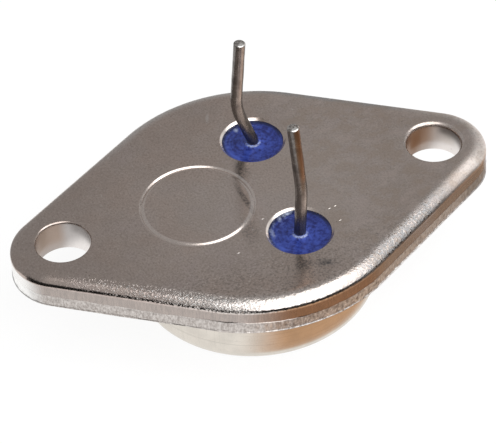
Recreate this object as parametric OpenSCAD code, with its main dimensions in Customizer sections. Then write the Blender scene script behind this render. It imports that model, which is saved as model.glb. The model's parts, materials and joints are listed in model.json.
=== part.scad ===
// Power transistor in a two-hole metal case, standing on its can with the pins up.
// Millimetres, +Z up. The origin is the middle of the can's crown, +X runs along the two screw holes.

/* [Header plate] */
// Distance between the two screw holes
hole_spacing = 30.15; // [28:0.05:32]
// Width of the plate across its middle
plate_w = 24.7; // [24:0.1:27]
// Radius of the rounded ends
end_r = 4.1; // [3.6:0.1:5]
// Thickness of the plate
plate_t = 2.8; // [2.4:0.1:3.4]
// Depth of the rolled-over edge on the pin side
roll_depth = 0.8; // [0.4:0.05:1.1]
// Width of the rolled-over edge on the pin side
roll_width = 1.4; // [1.15:0.05:1.8]
// Diameter of the screw holes
hole_d = 4.2; // [3.8:0.05:4.6]
// Radius of the drawn-in rim of the screw holes
hole_rim_r = 0.3; // [0.1:0.05:0.5]
// How much wider the screw holes break out on the can side
hole_break_w = 0.12; // [0.05:0.01:0.25]
// Height of the broken-out part of the screw holes
hole_break_h = 0.9; // [0.4:0.1:1.2]

/* [Ring mark] */
// Width of the coined ring mark
ring_w = 0.4; // [0.2:0.05:0.7]
// Depth of the coined ring mark
ring_depth = 0.08; // [0.04:0.01:0.15]

/* [Glass seals] */
// Diameter of the seal holes through the plate
seal_d = 4.84; // [4.2:0.02:5.2]
// Width of the bevel around the seal holes
seal_bevel_w = 0.24; // [0.1:0.02:0.4]
// Depth of the bevel around the seal holes
seal_bevel_h = 0.2; // [0.1:0.02:0.4]
// How far the glass lies below the pin side of the plate
glass_recess = 0.3; // [0.1:0.02:0.6]
// Height of the glass collar that climbs each pin
collar_h = 0.14; // [0.05:0.01:0.3]
// Width of the glass collar around each pin
collar_w = 0.3; // [0.1:0.02:0.5]

/* [Pins] */
// Distance between the two pins
pin_spacing = 10.92; // [10.4:0.02:11.6]
// Distance from the row of pins to the middle of the plate
pin_offset = 2; // [1.5:0.05:2.4]
// Diameter of the pins
pin_d = 0.92; // [0.7:0.01:1.1]
// Bevel on the cut end of the pins
pin_bevel = 0.08; // [0.02:0.01:0.15]
// Diameter of the flat bonding head on a pin's inner end
pin_head_d = 1.7; // [1.3:0.05:2]
// Thickness of the flat bonding head
pin_head_t = 0.3; // [0.2:0.05:0.5]
// Bending radius where the pins leave the glass
root_bend_r = 1.2; // [0.8:0.1:2]
// Direction of the plane that both pins are bent in
bend_plane_angle = -17; // [-25:1:-9]

/* [Bent base pin] */
// Lean of the lower stretch
base_lean_angle = 19; // [12:0.5:22]
// Length of the lower stretch
base_lower = 2.05; // [1.5:0.05:2.5]
// Bending radius between the two stretches
base_bend_r = 6; // [4:0.5:8]
// Lean back of the upper stretch
base_return_angle = 5.2; // [2:0.1:8]
// Length of the upper stretch
base_upper = 5.2; // [4:0.1:7]

/* [Bent emitter pin] */
// Lean of the lower stretch
emitter_lean_angle = 3.5; // [1:0.5:8]
// Length of the lower stretch
emitter_lower = 3.3; // [2:0.05:4]
// Bending radius between the two stretches
emitter_bend_r = 12; // [6:0.5:16]
// Lean back of the upper stretch
emitter_return_angle = 4; // [1:0.1:8]
// Length of the upper stretch
emitter_upper = 5.6; // [4:0.1:7]

/* [Can] */
// Outer diameter of the can
can_d = 19.3; // [18.8:0.1:21]
// Height of the can from the plate to its crown
can_h = 6.2; // [5.4:0.1:7.5]
// Thickness of the can's wall
can_wall = 0.5; // [0.3:0.05:0.6]
// Thickness of the can's crown
crown_t = 0.6; // [0.4:0.05:0.8]
// Outer radius between the crown and the wall
crown_r = 1.2; // [0.9:0.1:1.8]
// Width of the welded lip beyond the wall
lip_w = 1.2; // [0.8:0.05:1.3]
// Thickness of the welded lip
lip_t = 0.6; // [0.4:0.05:0.8]
// Fillet between the wall and the lip
lip_fillet = 0.4; // [0.2:0.05:0.6]

/* [Inside the can] */
// Diameter of the copper heat spreader
spreader_d = 8.5; // [7.6:0.1:9.4]
// Thickness of the heat spreader
spreader_t = 1.2; // [0.8:0.1:1.6]
// Gap between the heat spreader and the can's wall
spreader_gap = 0.55; // [0.3:0.05:0.8]
// Bevel around the heat spreader
spreader_bevel = 0.2; // [0.1:0.05:0.4]
// Thickness of the braze under the heat spreader
braze_t = 0.1; // [0.05:0.01:0.2]
// Side of the square silicon die
die_side = 4; // [3:0.1:4.6]
// Thickness of the die
die_t = 0.3; // [0.2:0.02:0.5]
// Thickness of the solder under the die
solder_t = 0.1; // [0.05:0.01:0.2]
// How far the solder reaches beyond the die
solder_fillet = 0.2; // [0.05:0.05:0.4]
// Diameter of the two emitter wires
emitter_wire_d = 0.38; // [0.25:0.01:0.45]
// Distance between the two emitter wires
emitter_wire_gap = 0.62; // [0.5:0.02:0.8]
// Diameter of the base wire
base_wire_d = 0.3; // [0.2:0.01:0.4]
// Height of the wire loops
loop_h = 1.5; // [1:0.1:1.9]
// Length of the flattened feet of the wires
foot_len = 0.7; // [0.5:0.05:0.9]
// Thickness of the flattened feet of the wires
foot_t = 0.2; // [0.18:0.02:0.3]

/* [Hidden] */
$fn = 96;
// Half a turn
half_turn = 180;
// How far a cutting solid reaches past what it cuts
past = 1;
// How far the straight flanks of the plate run into its arcs, so that they fuse
lap = 0.005;
// How far the straight stretches of a pin run into its bends, so that they fuse
seat = 0.05;
// How far the bends of a pin stand proud of its straight stretches
swell = 0.005;

// Heights: the plate's can side, its pin side and the top of the glass around the pins
plate_z = can_h;
face_z = plate_z + plate_t;
glass_z = face_z - glass_recess;
collar_z = glass_z + collar_h;

// Plan of the plate: arcs on the middle and on the two holes, joined by common tangents
plate_r = plate_w / 2;
hole_x = hole_spacing / 2;
tangent = acos((plate_r - end_r) / hole_x);
flat_len = hole_x * sin(tangent);
// Radius of the arc that rolls the pin-side edge over
roll_r = (pow(roll_depth, 2) + pow(roll_width, 2)) / (2 * roll_depth);

// Inside the can
can_r = can_d / 2;
can_in_r = can_r - can_wall;
spreader_x = -(can_in_r - spreader_gap - spreader_d / 2);
spreader_top = plate_z - braze_t;
solder_top = spreader_top - spreader_t;
die_top = solder_top - solder_t;
die_face = die_top - die_t;

// Radius of the arc whose chord and height match the ring mark's width and depth
ring_cut_r = (pow(ring_w / 2, 2) + pow(ring_depth, 2)) / (2 * ring_depth);
// The ring mark lies behind the heat spreader's edge
ring_r = spreader_d / 2;

// Distance of the bonding places from the middle of the die
die_pad = die_side / 4;
// Width of a flattened foot, for a wire 1 mm thick
foot_spread = 1.5;
// Distance of each pin from the long axis of the plate
pin_y = pin_spacing / 2;

// Section of the plate from its axis out to the rolled edge
module plate_section(reach) {
    difference() {
        square([reach, plate_t]);
        translate([reach - roll_width, plate_t - roll_depth]) difference() {
            square([roll_width + past, roll_depth + past]);
            translate([0, roll_depth - roll_r]) circle(roll_r);
        }
    }
}

// Sector of the plate around a rounded end or the middle
module plate_sector(r, from, sweep) {
    rotate_extrude(angle = sweep, start = from) plate_section(r);
}

// Straight quarter of the plate between the middle and one end
module plate_flank() {
    rotate([0, 0, tangent]) intersection() {
        translate([0, lap, 0]) rotate([90, 0, 0])
            linear_extrude(flat_len + 2 * lap) plate_section(plate_r);
        linear_extrude(plate_t) polygon([
            [-lap, 0],
            [-lap, past],
            [plate_r + past, past],
            [plate_r + past, -flat_len - past],
            [plate_r - end_r - lap, -flat_len - past],
            [plate_r - end_r - lap, -flat_len]
        ]);
    }
}

module plate_blank() {
    for (side = [0, half_turn]) {
        rotate([0, 0, side]) plate_sector(plate_r, tangent, half_turn - 2 * tangent);
        rotate([0, 0, side]) translate([hole_x, 0, 0]) plate_sector(end_r, -tangent, 2 * tangent);
        rotate([0, 0, side]) plate_flank();
        rotate([0, 0, side]) mirror([0, 1, 0]) plate_flank();
    }
}

// Punched hole: rim drawn in on the pin side, straight wall, wider break-out on the can side
module screw_hole() {
    translate([0, 0, -past]) cylinder(h = plate_t + 2 * past, d = hole_d);
    translate([0, 0, -past]) cylinder(h = past, r = hole_d / 2 + hole_break_w);
    cylinder(h = hole_break_h, r1 = hole_d / 2 + hole_break_w, r2 = hole_d / 2);
    translate([0, 0, plate_t - hole_rim_r]) rotate_extrude() difference() {
        square([hole_d / 2 + hole_rim_r, hole_rim_r + past]);
        translate([hole_d / 2 + hole_rim_r, 0]) circle(hole_rim_r);
    }
}

module seal_hole() {
    translate([0, 0, -past]) cylinder(h = plate_t + 2 * past, d = seal_d);
    translate([0, 0, plate_t - seal_bevel_h])
        cylinder(h = seal_bevel_h, r1 = seal_d / 2, r2 = seal_d / 2 + seal_bevel_w);
}

module ring_mark() {
    translate([spreader_x, 0, plate_t - ring_depth + ring_cut_r])
        rotate_extrude() translate([ring_r, 0]) circle(ring_cut_r);
}

module header_plate() {
    color([0.62, 0.59, 0.56]) translate([0, 0, plate_z]) difference() {
        plate_blank();
        for (side = [-1, 1]) {
            translate([side * hole_x, 0, 0]) screw_hole();
            translate([pin_offset, side * pin_y, 0]) seal_hole();
        }
        ring_mark();
    }
}

// Glass bead with a low collar around its pin, bored for the pin
module glass_seal(side) {
    pin_r = pin_d / 2;
    color([0.1, 0.13, 0.5]) translate([pin_offset, side * pin_y, plate_z]) difference() {
        union() {
            cylinder(h = plate_t - glass_recess, d = seal_d);
            translate([0, 0, plate_t - glass_recess])
                cylinder(h = collar_h, r1 = pin_r + collar_w, r2 = pin_r + collar_w / 2);
        }
        translate([0, 0, -past]) cylinder(h = plate_t + 2 * past, r = pin_r);
    }
}

module base_glass_seal() {
    glass_seal(1);
}

module emitter_glass_seal() {
    glass_seal(-1);
}

// Elbow that starts at the origin along +Z and turns towards +X, or towards -X for a negative turn
module elbow(turn, bend_r) {
    mirror([turn < 0 ? 1 : 0, 0, 0]) translate([bend_r, 0, 0]) rotate([90, 0, 0])
        rotate_extrude(angle = -abs(turn), start = half_turn)
            translate([bend_r, 0]) circle(pin_d / 2 + swell);
}

// Puts its children at the far end of an elbow
module after_elbow(turn, bend_r) {
    side = turn < 0 ? -1 : 1;
    translate([side * bend_r * (1 - cos(turn)), 0, bend_r * sin(abs(turn))])
        rotate([0, turn, 0]) children();
}

module pin_tip() {
    cylinder(h = pin_bevel, r1 = pin_d / 2, r2 = pin_d / 2 - pin_bevel);
}

// Pin with a flat bonding head inside, a straight run through the glass and two bends outside
module pin(side, lean_angle, lower, bend_r, back_angle, upper) {
    straight = collar_z - die_face;
    color([0.5, 0.47, 0.44]) translate([pin_offset, side * pin_y, die_face]) {
        cylinder(h = pin_head_t, d = pin_head_d);
        cylinder(h = straight + seat, d = pin_d);
        translate([0, 0, straight]) rotate([0, 0, bend_plane_angle]) {
            elbow(lean_angle, root_bend_r);
            after_elbow(lean_angle, root_bend_r) {
                translate([0, 0, -seat]) cylinder(h = lower + 2 * seat, d = pin_d);
                translate([0, 0, lower]) {
                    elbow(back_angle, bend_r);
                    after_elbow(back_angle, bend_r) {
                        translate([0, 0, -seat]) cylinder(h = upper + seat, d = pin_d);
                        translate([0, 0, upper]) pin_tip();
                    }
                }
            }
        }
    }
}

module base_pin() {
    back_angle = base_lean_angle + base_return_angle;
    pin(1, -base_lean_angle, base_lower, base_bend_r, back_angle, base_upper);
}

module emitter_pin() {
    back_angle = -emitter_lean_angle - emitter_return_angle;
    pin(-1, emitter_lean_angle, emitter_lower, emitter_bend_r, back_angle, emitter_upper);
}

// Outline of a cup from its axis out to the wall, rounded at the bottom
module cup_section(r, h, corner) {
    square([r - corner, h]);
    translate([0, corner]) square([r, h - corner]);
    translate([r - corner, corner]) intersection() {
        circle(corner);
        translate([0, -corner]) square(corner);
    }
}

// Outline of the lip, filleted into the wall
module lip_section() {
    translate([0, can_h - lip_t]) square([can_r + lip_w, lip_t]);
    translate([0, can_h - lip_t - lip_fillet]) difference() {
        square([can_r + lip_fillet, lip_fillet]);
        translate([can_r + lip_fillet, 0]) circle(lip_fillet);
    }
}

module can() {
    color([0.72, 0.68, 0.63]) rotate_extrude() difference() {
        union() {
            cup_section(can_r, can_h, crown_r);
            lip_section();
        }
        translate([0, crown_t]) cup_section(can_in_r, can_h, crown_r - can_wall);
    }
}

module heat_spreader() {
    r = spreader_d / 2;
    color([0.72, 0.45, 0.3]) translate([spreader_x, 0, solder_top]) {
        cylinder(h = spreader_bevel, r1 = r - spreader_bevel, r2 = r);
        translate([0, 0, spreader_bevel]) cylinder(h = spreader_t - spreader_bevel, r = r);
    }
}

module spreader_braze() {
    color([0.75, 0.72, 0.62]) translate([spreader_x, 0, spreader_top])
        cylinder(h = braze_t, d = spreader_d);
}

// Square slab centred on the heat spreader
module slab(side, z, t) {
    translate([spreader_x - side / 2, -side / 2, z]) cube([side, side, t]);
}

module die_solder() {
    color([0.6, 0.6, 0.62]) slab(die_side + 2 * solder_fillet, die_top, solder_t);
}

module silicon_die() {
    color([0.3, 0.31, 0.36]) slab(die_side, die_face, die_t);
}

// Round wire looping below two places at the same height, with a flattened foot on each
module bond_wire(from, to, wire_d) {
    run = to - from;
    chord = norm(run);
    rise = loop_h - foot_t;
    arc_r = (pow(chord / 2, 2) + pow(rise, 2)) / (2 * rise);
    half = acos((arc_r - rise) / arc_r);
    foot_w = foot_spread * wire_d;
    translate([from.x, from.y, die_face]) rotate([0, 0, atan2(run.y, run.x)]) {
        translate([chord / 2, 0, arc_r - rise - foot_t]) rotate([90, 0, 0])
            rotate_extrude(angle = 2 * half, start = 270 - half)
                translate([arc_r, 0]) circle(d = wire_d);
        for (x = [0, chord])
            translate([x - foot_len / 2, -foot_w / 2, -foot_t]) cube([foot_len, foot_w, foot_t]);
    }
}

module emitter_bond_wires() {
    from = [spreader_x + die_pad, -die_pad];
    to = [pin_offset, -pin_y];
    across = [from.y - to.y, to.x - from.x] / norm(to - from);
    color([0.8, 0.81, 0.83]) for (step = [-0.5, 0.5] * emitter_wire_gap)
        bond_wire(from + step * across, to + step * across, emitter_wire_d);
}

module base_bond_wire() {
    color([0.8, 0.81, 0.83]) bond_wire([spreader_x + die_pad, die_pad], [pin_offset, pin_y], base_wire_d);
}

header_plate();
base_glass_seal();
emitter_glass_seal();
base_pin();
emitter_pin();
can();
heat_spreader();
spreader_braze();
die_solder();
silicon_die();
emitter_bond_wires();
base_bond_wire();
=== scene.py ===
"""Power transistor in a two-hole metal case: the stamped plate, the drawn can, the glass beads, the bent pins,
their finishes and the studio around them, laid out as an add-on and run as a script."""

import json
import math
from dataclasses import dataclass

import bmesh
import bpy
from bpy.props import FloatProperty, FloatVectorProperty, PointerProperty
from bpy.types import Operator, Panel, PropertyGroup
from mathutils import Matrix, Vector, noise


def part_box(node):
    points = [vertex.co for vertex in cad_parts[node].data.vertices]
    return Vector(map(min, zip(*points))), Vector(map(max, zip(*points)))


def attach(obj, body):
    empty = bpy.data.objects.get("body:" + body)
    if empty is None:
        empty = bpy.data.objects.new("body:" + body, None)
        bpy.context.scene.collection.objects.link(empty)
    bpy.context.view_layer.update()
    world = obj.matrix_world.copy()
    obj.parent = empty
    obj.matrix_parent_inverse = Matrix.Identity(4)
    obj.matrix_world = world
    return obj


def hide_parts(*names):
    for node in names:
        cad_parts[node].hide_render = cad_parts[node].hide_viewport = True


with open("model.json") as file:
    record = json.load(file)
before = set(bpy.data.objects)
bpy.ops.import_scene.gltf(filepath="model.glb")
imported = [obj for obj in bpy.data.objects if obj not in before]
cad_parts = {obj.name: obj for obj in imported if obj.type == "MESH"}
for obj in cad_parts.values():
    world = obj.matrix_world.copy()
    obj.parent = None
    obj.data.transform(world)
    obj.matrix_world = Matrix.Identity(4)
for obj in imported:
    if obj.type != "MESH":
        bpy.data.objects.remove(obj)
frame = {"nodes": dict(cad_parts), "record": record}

bl_info = {
    "name": "Power Transistor",
    "version": (1, 0, 0),
    "blender": (4, 5, 0),
    "location": "3D View > Sidebar > Transistor",
    "description": "Builds and lights the plate, can, glass beads and pins of a metal-case power transistor",
    "category": "Add Mesh",
}

MM, MICRON = 0.001, 0.000001
WELD = 1e-7
SHARP_ANGLE = math.radians(32)
# Steps around each round shape.
BORE_STEPS, SEAL_STEPS, RING_STEPS, CAN_STEPS, PIN_STEPS, SCREEN_STEPS = 120, 96, 160, 192, 40, 48
# Painted brown reflection on one side of each pin by strength, the length it covers below the cut end, and the
# dents of the pins.
BROWN_REFLECTION_STRENGTH, BROWN_REFLECTION_LENGTH = {"base": 0.15, "emitter": 0.8}, 5.6 * MM
DENT_DEPTH, DENT_WIDTH = 0.014 * MM, 0.9 * MM
# Studio: distance of the lamps, and width, shift and reach of the camera.
LAMP_DISTANCE = 0.3
SENSOR_WIDTH = 36
LENS_SHIFT = (0.0028, -0.0027)
CAMERA_REACH = (0.01, 10)
TINT = "MULTIPLY"
# The second colour is painted light: near-white glare painted on the left tip of the plate's wall.
WHITE, PAINTED_GLARE = (1, 1, 1), (1, 0.99, 0.97)
# Half height of a patch that takes in every height of the part, in millimetres.
ANY_HEIGHT = 1000
BODY = "root"
X_AXIS, Y_AXIS, Z_AXIS = Vector((1, 0, 0)), Vector((0, 1, 0)), Vector((0, 0, 1))

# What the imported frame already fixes: mounts by name, and the lowest and highest corner of each piece.
MOUNTS = {mount["name"]: mount for mount in frame["record"]["mounts"]}
PLATE_LOW, PLATE_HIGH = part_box("header_plate")
CAN_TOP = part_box("can")[1]
PIN_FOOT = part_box("base_pin")[0].z


def round_box(node):
    """Middle and radius of a round plain node."""
    low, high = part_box(node)
    return (low + high) / 2, (high.x - low.x) / 2


def mount_size(mount, size):
    """Size of a mount in millimetres, as the record has it."""
    return MOUNTS[mount]["dims"][size]


# ---- Settings ----


def size_prop(name, text, millimetres):
    """Length that a user can change."""
    return FloatProperty(
        name=name, description=text, default=millimetres * MM, subtype="DISTANCE", unit="LENGTH"
    )


def angle_prop(name, text, degrees):
    """Angle that a user can change."""
    return FloatProperty(
        name=name, description=text, default=math.radians(degrees), subtype="ANGLE", unit="ROTATION"
    )


def colour_prop(name, text, colour):
    """Colour that a user can change."""
    return FloatVectorProperty(name=name, description=text, default=colour, subtype="COLOR")


def light_prop(name, text, radiance):
    """Brightness that a user can change."""
    return FloatProperty(name=name, description=f"{text}, where 1 is white", default=radiance)


class PlateSizes(PropertyGroup):
    """Sizes of the stamped plate."""

    hole_spacing: size_prop(
        "Hole Spacing", "Distance between the two screw holes", mount_size("screw_holes", "spacing_x_mm")
    )
    hole_radius: size_prop("Hole Radius", "Radius of the screw holes", mount_size("screw_hole_a", "r_mm"))
    middle_radius: size_prop("Middle Radius", "Radius of the outline at its middle", PLATE_HIGH.y / MM)
    end_radius: size_prop(
        "End Radius",
        "Radius of the outline around each screw hole",
        PLATE_HIGH.x / MM - mount_size("screw_holes", "spacing_x_mm") / 2,
    )
    roll_width: size_prop("Roll Width", "Width of the edge that the stamping rolled over", 1.4)
    roll_depth: size_prop("Roll Depth", "Depth of the edge that the stamping rolled over", 0.84)
    arris_radius: size_prop("Arris Radius", "Radius where the rolled edge turns into the sheared wall", 0.42)
    tear_ledge: size_prop("Tear Ledge", "How far the torn band stands proud where it starts", 0.055)
    tear_roughness: size_prop("Tear Roughness", "Height of the lumps in the torn band", 0.032)
    tear_wander: size_prop(
        "Tear Wander", "How far the line between the sheared and the torn band wanders up and down", 0.1
    )
    left_rim: size_prop("Left Rim", "Radius of the drawn-in rim of the screw hole away from the pins", 0.22)
    right_rim: size_prop("Right Rim", "Radius of the drawn-in rim of the screw hole near the pins", 0.4)
    break_width: size_prop("Break Width", "How much wider the screw holes break out on the can side", 0.12)
    break_height: size_prop("Break Height", "Height of the part of the screw holes that breaks out", 0.9)
    bevel_width: size_prop("Seal Bevel Width", "Width of the bevel around the glass", 0.18)
    bevel_depth: size_prop("Seal Bevel Depth", "Depth of the bevel around the glass", 0.165)
    ring_width: size_prop("Ring Width", "Width of the coined ring mark", 0.44)
    ring_depth: size_prop("Ring Depth", "Depth of the coined ring mark", 0.12)


class CanSizes(PropertyGroup):
    """Sizes of the drawn can."""

    radius: size_prop("Radius", "Outer radius of the can's wall", 9.65)
    wall: size_prop("Wall", "Thickness of the can's wall", 0.5)
    crown_thickness: size_prop("Crown Thickness", "Thickness of the can's crown", 0.6)
    crown_radius: size_prop("Crown Radius", "Radius between the crown and the wall", 1.2)
    lip_thickness: size_prop("Lip Thickness", "Thickness of the welded lip", 0.6)
    lip_fillet: size_prop("Lip Fillet", "Radius between the wall and the lip", 0.4)


class BeadSizes(PropertyGroup):
    """Sizes of the glass beads."""

    collar_height: size_prop("Collar Height", "How far the glass climbs each pin", 0.14)
    collar_width: size_prop("Collar Width", "Width of the glass that climbs each pin", 0.42)
    rim_climb: size_prop("Rim Climb", "How far the glass climbs the wall of its hole", 0.07)


class PinSizes(PropertyGroup):
    """Sizes and bends of the two pins."""

    radius: size_prop("Radius", "Radius of the pins", mount_size("base_lead", "r_mm"))
    cut_bevel: size_prop("Cut Bevel", "Bevel on the cut end of the pins", 0.08)
    head_radius: size_prop("Head Radius", "Radius of the flat bonding head inside the can", 0.85)
    head_thickness: size_prop("Head Thickness", "Thickness of the flat bonding head", 0.3)
    root_bend: size_prop("Root Bend", "Bending radius where the pins leave the glass", 1.2)
    bend_plane: angle_prop("Bend Plane", "Direction of the plane that both pins are bent in", -17)
    base_lean: angle_prop("Base Pin Lean", "Lean of the base pin's lower stretch", -19)
    base_lower: size_prop("Base Pin Lower Stretch", "Length of the base pin's lower stretch", 2.05)
    base_bend: size_prop("Base Pin Bend", "Bending radius between the base pin's two stretches", 6)
    base_return: angle_prop("Base Pin Return", "Lean of the base pin's upper stretch", 5.2)
    emitter_lean: angle_prop("Emitter Pin Lean", "Lean of the emitter pin's lower stretch", 3.5)
    emitter_lower: size_prop("Emitter Pin Lower Stretch", "Length of the emitter pin's lower stretch", 3.3)
    emitter_bend: size_prop("Emitter Pin Bend", "Bending radius between the emitter pin's two stretches", 12)
    emitter_return: angle_prop("Emitter Pin Return", "Lean of the emitter pin's upper stretch", -4)


class Colours(PropertyGroup):
    """Colours of the finishes."""

    nickel: colour_prop("Nickel", "Satin nickel of the plate", (0.645, 0.542, 0.49))
    dull_nickel: colour_prop("Dull Nickel", "Duller patches of the plate's nickel", (0.575, 0.48, 0.43))
    sheared_steel: colour_prop(
        "Sheared Steel", "Smooth band of the stamped wall, thinly plated", (0.375, 0.332, 0.308)
    )
    torn_steel: colour_prop("Torn Steel", "Rough band of the stamped wall", (0.72, 0.675, 0.64))
    # Painted light and shade: a lit and a shaded copy of the bore plating, which the walls of the screw holes
    # mix.
    lit_bore_plating: colour_prop(
        "Bored Steel", "Bright plating on the walls of the screw holes", (0.92, 0.875, 0.85)
    )
    shaded_bore_plating: colour_prop("Dull Bore", "Duller plating on the walls of the screw holes", (0.15, 0.135, 0.13))
    # Painted reflection: brown laid on the far walls of the screw holes.
    hole_reflection: colour_prop("Stain", "Brown stain inside the screw holes", (0.33, 0.21, 0.135))
    can: colour_prop("Can", "Bright nickel of the can", (0.74, 0.69, 0.62))
    pin: colour_prop("Pin", "Dull plating of the pins", (0.26, 0.24, 0.225))
    tarnish: colour_prop("Tarnish", "Darker tarnish on the pins", (0.07, 0.06, 0.055))
    # Painted reflection: brown laid on one side of each pin near its cut end.
    pin_brown_reflection: colour_prop("Rust", "Brown tarnish on the side of a pin", (0.52, 0.30, 0.17))
    deep_glass: colour_prop("Deep Glass", "Darkest blue of the glass", (0.008, 0.013, 0.12))
    # Also the colour of the painted reflection along the left rim of each bead.
    pale_glass: colour_prop(
        "Pale Glass", "Palest blue of the glass, around the pins and at its bubbles", (0.048, 0.087, 0.42)
    )


class Studio(PropertyGroup):
    """Camera, lamps and surroundings."""

    azimuth: angle_prop(
        "Camera Azimuth", "Direction of the camera around the part, 0 looking along +Y", -16.643
    )
    elevation: angle_prop("Camera Elevation", "Height of the camera above the horizon", 44.015)
    roll: angle_prop("Camera Roll", "Turn of the camera about its own axis", -3.512)
    distance: size_prop(
        "Camera Distance", "Distance of the camera from the middle of the plate's pin side", 195.996
    )
    slide: FloatVectorProperty(
        name="Camera Slide",
        description="How far the camera stands to the left of and below its axis",
        default=(0.351 * MM, 2.303 * MM),
        size=2,
        subtype="TRANSLATION",
        unit="LENGTH",
    )
    lens: FloatProperty(
        name="Lens",
        description="Focal length of the camera",
        default=185.31,
        subtype="DISTANCE_CAMERA",
        unit="CAMERA",
    )
    key_radiance: light_prop("Key Light", "Brightness of the large soft light at the front right", 1.95)
    fill_radiance: light_prop("Fill Light", "Brightness of the soft light at the left", 0.15)
    side_radiance: light_prop("Side Light", "Brightness of the soft light at the right", 0.9)
    room_radiance: light_prop("Room", "Brightness of the room above and behind the part", 0.36)
    card_colour: colour_prop("Card", "Warm card that lies on the floor at the right", (0.72, 0.455, 0.28))


# ---- Shaping ----


def spin(mesh, geometry, steps, **how):
    """Carries geometry along a run or around an axis, and returns its last copy."""
    how = {"cent": (0, 0, 0), "axis": Z_AXIS, "angle": 0, **how}
    return bmesh.ops.spin(mesh, geom=geometry, steps=steps, **how)["geom_last"]


def line(mesh, vert, step, count=1):
    """Draws a straight run of edges from a vertex, and returns its last vertex."""
    return spin(mesh, [vert], count, dvec=Vector(step) / count)[0]


def arc(mesh, vert, centre, axis, angle, count):
    """Draws an arc of edges from a vertex, and returns its last vertex."""
    return spin(mesh, [vert], count, cent=centre, axis=axis, angle=angle)[0]


def section(mesh):
    """Everything that is drawn so far, to be carried along."""
    return mesh.verts[:] + mesh.edges[:]


def turn(mesh, centre, steps):
    """Turns a drawn section all the way round a vertical line."""
    spin(mesh, section(mesh), steps, cent=centre, angle=math.tau, use_merge=True)


def join(mesh, part):
    """Adds a part that was drawn on its own to a mesh."""
    data = bpy.data.meshes.new("part")
    part.to_mesh(data)
    part.free()
    mesh.from_mesh(data)
    bpy.data.meshes.remove(data)


def open_edges(mesh, height):
    """Open edges that lie at a height."""
    return [
        edge
        for edge in mesh.edges
        if edge.is_boundary and all(abs(vert.co.z - height) < WELD for vert in edge.verts)
    ]


def new_object(name, mesh, material):
    """Makes an object of a mesh."""
    data = bpy.data.meshes.new(name)
    mesh.to_mesh(data)
    mesh.free()
    data.materials.append(material)
    made = bpy.data.objects.new(name, data)
    bpy.context.collection.objects.link(made)
    return made


def piece(name, mesh, finish, slot, *nodes):
    """Makes a piece of a mesh, which rides on the part and stands for its plain nodes."""
    bmesh.ops.remove_doubles(mesh, verts=mesh.verts, dist=WELD)
    bmesh.ops.recalc_face_normals(mesh, faces=mesh.faces)
    made = new_object(name, mesh, finish)
    made.data.shade_smooth()
    made.data.set_sharp_from_angle(angle=SHARP_ANGLE)
    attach(made, BODY)
    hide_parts(*nodes)


# Share of the stamped wall at which it starts to tear.
TEAR_START = 0.47


@dataclass
class Outline:
    """Plan of the plate: arcs on its middle and on its two holes, joined by straight flanks."""

    middle: float
    end: float
    hole_x: float

    @property
    def tangent(self):
        """Angle at which the middle arc meets a flank."""
        return math.acos((self.middle - self.end) / self.hole_x)

    @property
    def flank(self):
        """Length of a flank."""
        return self.hole_x * math.sin(self.tangent)

    def outward(self, place):
        """Plan direction that leaves the plate at a place on its edge."""
        x, y = abs(place.x), abs(place.y)
        if math.atan2(y, x) >= self.tangent:
            way = Vector((x, y, 0))
        elif math.atan2(y, x - self.hole_x) <= self.tangent:
            way = Vector((x - self.hole_x, y, 0))
        else:
            way = Vector((math.cos(self.tangent), math.sin(self.tangent), 0))
        way.normalize()
        return Vector((math.copysign(way.x, place.x), math.copysign(way.y, place.y), 0))


def mix(low, high, share):
    """Value between two others."""
    return low + (high - low) * share


def ramp(value, low, high):
    """Smooth step of a value from 0 at low to 1 at high."""
    share = min(max((value - low) / (high - low), 0), 1)
    return share * share * (3 - 2 * share)


# Marks by place, direction, length, width and strength, in millimetres and degrees: short scratches of wear and
# dark speckled patches on the pin side, and painted glints of light in the glass.
SCRATCHES = (
    (-0.2, -3.3, 17, 0.4, 0.12, 1),
    (5.2, -5.6, 17, 0.4, 0.12, 1),
    (4.9, -4.1, 17, 0.4, 0.12, 1),
    (5.4, -4.0, 17, 0.4, 0.12, 1),
    (-3.1, -6.1, 17, 0.4, 0.12, 1),
    (-1.3, -4.1, 10, 0.3, 0.15, 0.5),
    (-2.4, -4.8, 30, 0.4, 0.12, 0.4),
    (-1.9, -3.2, 60, 0.3, 0.15, 0.4),
    (-0.5, 9.2, 70, 1.6, 0.4, 0.35),
)
DARK_PATCHES = (
    (0.1, 2.4, 73, 3.6, 1.7, 1),
    (1.1, -8.8, 73, 3.2, 1.7, 1),
    (2.6, -9.4, -20, 2.6, 1.2, 1),
    (-0.75, -0.7, 94, 5.0, 0.7, 1),
    (-1.5, -4.2, 80, 4.4, 2.2, 0.45),
)
GLINTS = (
    (0.06, -4.75, 84, 1.5, 0.42, 0.8),
    (1.05, -3.5, 60, 0.7, 0.45, 0.8),
    (1.75, -3.15, 15, 1.4, 0.5, 0.9),
    (1.25, 7.3, 75, 0.7, 0.5, 0.8),
)

# Marks that the plate's finish reads, two of them painted light, shade and reflection.
PLATE_MARKS = ("rolled", "sheared", "torn", "bored", "warm", "bright", "coined")


def plate_mesh():
    """Starts a mesh whose vertices carry the marks of the plate's finish and how far down the wall they lie."""
    mesh = bmesh.new()
    return mesh, {name: mesh.verts.layers.float.new(name) for name in (*PLATE_MARKS, "down")}


# Share of the stamped wall down to which each run of rows goes, with its count: sheared band, ledge at the
# start of the tear, torn band, burr.
WALL_ROWS = ((TEAR_START, 7), (TEAR_START + 0.022, 1), (0.93, 13), (0.955, 1), (0.975, 1), (1, 1))


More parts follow.
